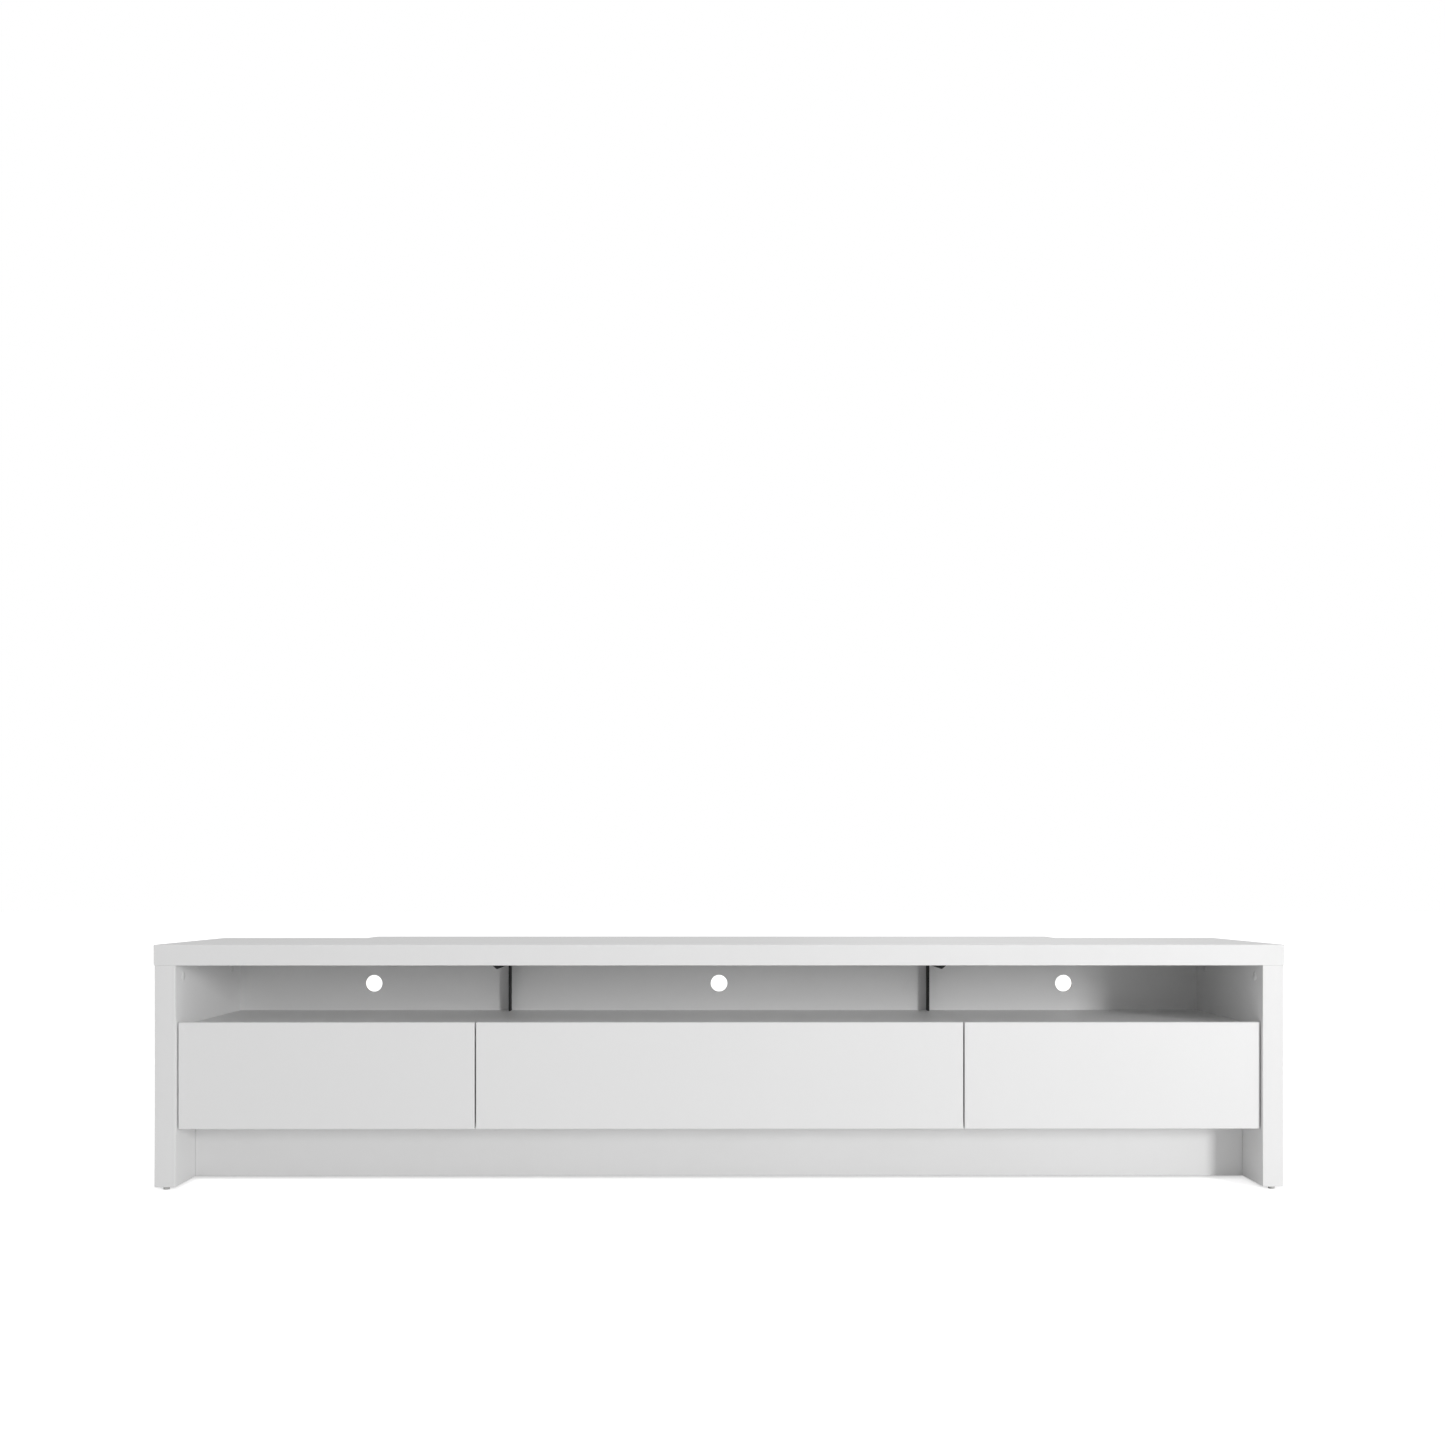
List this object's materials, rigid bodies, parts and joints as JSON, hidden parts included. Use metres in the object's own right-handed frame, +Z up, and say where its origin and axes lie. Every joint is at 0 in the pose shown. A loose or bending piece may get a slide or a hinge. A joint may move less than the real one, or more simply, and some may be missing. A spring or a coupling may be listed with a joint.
{
  "type": "tv stand with doors",
  "caption": "Low wide stand with an open shelf bay above drop-down doors, between slab sides, for a television and its devices.",
  "frame": {"origin": "on the floor, under the middle of the overall box", "axes": "+X to the right seen from the front, +Y from the front to the back, +Z up"},
  "size_m": [2.17, 0.445, 0.47],
  "materials": {
    "white_melamine_board": "satin white melamine",
    "white_door_front": "satin white melamine",
    "white_faced_hardboard": "white foil",
    "bare_softwood": "planed",
    "black_powder_coat_steel": "matt powder coat",
    "beech_dowel": "fluted",
    "zinc_die_casting": "cast",
    "zinc_screws": "zinc plated",
    "white_plastic_cap": "moulded",
    "grey_plastic_glide": "moulded",
    "white_plastic_catch": "moulded",
    "nickel_plated_hinge": "nickel plated",
    "nickel_plated_stay": "nickel plated",
    "zinc_strike": "zinc plated"
  },
  "bodies": {
    "carcass": {"back_batten_left": "bare_softwood", "back_batten_right": "bare_softwood", "back_panel_centre": "white_faced_hardboard", "back_panel_left": "white_faced_hardboard", "back_panel_right": "white_faced_hardboard", "back_panel_screws": "zinc_screws", "bottom_panel": "white_melamine_board", "cam_bolts": "zinc_screws", "cam_caps": "white_plastic_cap", "cam_locks": "zinc_die_casting", "carcass_screws": "zinc_screws", "catch_bodies": "white_plastic_catch", "confirmat_caps": "white_plastic_cap", "confirmat_screws": "zinc_screws", "divider_left": "white_melamine_board", "divider_right": "white_melamine_board", "dowels": "beech_dowel", "glides": "grey_plastic_glide", "hinge_fixed_leaves": "nickel_plated_hinge", "hinge_pins": "nickel_plated_hinge", "plinth_front": "white_melamine_board", "plinth_rear": "white_melamine_board", "plinth_rib_left": "white_melamine_board", "plinth_rib_right": "white_melamine_board", "rear_extension": "white_melamine_board", "shelf_panel": "white_melamine_board", "side_panel_left": "white_melamine_board", "side_panel_right": "white_melamine_board", "stay_wall_plates": "nickel_plated_stay", "support_bracket_left": "black_powder_coat_steel", "support_bracket_right": "black_powder_coat_steel", "top_panel": "white_melamine_board"},
    "door_left": {"door_left": "white_door_front", "door_left_hinge_leaves": "nickel_plated_hinge", "door_left_screws": "zinc_screws", "door_left_stay_ears": "nickel_plated_stay", "door_left_strikes": "zinc_strike"},
    "door_centre": {"door_centre": "white_door_front", "door_centre_hinge_leaves": "nickel_plated_hinge", "door_centre_screws": "zinc_screws", "door_centre_stay_ears": "nickel_plated_stay", "door_centre_strikes": "zinc_strike"},
    "door_right": {"door_right": "white_door_front", "door_right_hinge_leaves": "nickel_plated_hinge", "door_right_screws": "zinc_screws", "door_right_stay_ears": "nickel_plated_stay", "door_right_strikes": "zinc_strike"},
    "stay_arm_left": {"stay_arm_left": "nickel_plated_stay"},
    "stay_link_left": {"stay_link_left": "nickel_plated_stay"},
    "stay_arm_centre_left": {"stay_arm_centre_left": "nickel_plated_stay"},
    "stay_link_centre_left": {"stay_link_centre_left": "nickel_plated_stay"},
    "stay_arm_centre_right": {"stay_arm_centre_right": "nickel_plated_stay"},
    "stay_link_centre_right": {"stay_link_centre_right": "nickel_plated_stay"},
    "stay_arm_right": {"stay_arm_right": "nickel_plated_stay"},
    "stay_link_right": {"stay_link_right": "nickel_plated_stay"}
  },
  "joints": [
    {"name": "door_left_hinge", "type": "hinge", "parent": "carcass", "child": "door_left", "pos_m": [-0.75615, -0.1962, 0.1177], "axis": [1, 0, 0], "range_deg": [0, 90]},
    {"name": "door_centre_hinge", "type": "hinge", "parent": "carcass", "child": "door_centre", "pos_m": [0, -0.1962, 0.1177], "axis": [1, 0, 0], "range_deg": [0, 90]},
    {"name": "door_right_hinge", "type": "hinge", "parent": "carcass", "child": "door_right", "pos_m": [0.75615, -0.1962, 0.1177], "axis": [1, 0, 0], "range_deg": [0, 90]},
    {"name": "stay_arm_left_pivot", "type": "hinge", "parent": "carcass", "child": "stay_arm_left", "pos_m": [-1.0387, -0.1362, 0.1427], "axis": [1, 0, 0], "range_deg": [0, 90]},
    {"name": "stay_link_left_pivot", "type": "hinge", "parent": "stay_arm_left", "child": "stay_link_left", "pos_m": [-1.0387, -0.1312, 0.2427], "axis": [1, 0, 0], "range_deg": [-90, 0]},
    {"name": "stay_arm_centre_left_pivot", "type": "hinge", "parent": "carcass", "child": "stay_arm_centre_left", "pos_m": [-0.4585, -0.1362, 0.1427], "axis": [1, 0, 0], "range_deg": [0, 90]},
    {"name": "stay_link_centre_left_pivot", "type": "hinge", "parent": "stay_arm_centre_left", "child": "stay_link_centre_left", "pos_m": [-0.4585, -0.1312, 0.2427], "axis": [1, 0, 0], "range_deg": [-90, 0]},
    {"name": "stay_arm_centre_right_pivot", "type": "hinge", "parent": "carcass", "child": "stay_arm_centre_right", "pos_m": [0.4585, -0.1362, 0.1427], "axis": [1, 0, 0], "range_deg": [0, 90]},
    {"name": "stay_link_centre_right_pivot", "type": "hinge", "parent": "stay_arm_centre_right", "child": "stay_link_centre_right", "pos_m": [0.4585, -0.1312, 0.2427], "axis": [1, 0, 0], "range_deg": [-90, 0]},
    {"name": "stay_arm_right_pivot", "type": "hinge", "parent": "carcass", "child": "stay_arm_right", "pos_m": [1.0387, -0.1362, 0.1427], "axis": [1, 0, 0], "range_deg": [0, 90]},
    {"name": "stay_link_right_pivot", "type": "hinge", "parent": "stay_arm_right", "child": "stay_link_right", "pos_m": [1.0387, -0.1312, 0.2427], "axis": [1, 0, 0], "range_deg": [-90, 0]}
  ],
  "couplings": [
    {"joint": "stay_arm_left_pivot", "follows": "door_left_hinge", "ratio": 1},
    {"joint": "stay_link_left_pivot", "follows": "door_left_hinge", "ratio": -1},
    {"joint": "stay_arm_centre_left_pivot", "follows": "door_centre_hinge", "ratio": 1},
    {"joint": "stay_link_centre_left_pivot", "follows": "door_centre_hinge", "ratio": -1},
    {"joint": "stay_arm_centre_right_pivot", "follows": "door_centre_hinge", "ratio": 1},
    {"joint": "stay_link_centre_right_pivot", "follows": "door_centre_hinge", "ratio": -1},
    {"joint": "stay_arm_right_pivot", "follows": "door_right_hinge", "ratio": 1},
    {"joint": "stay_link_right_pivot", "follows": "door_right_hinge", "ratio": -1}
  ]
}
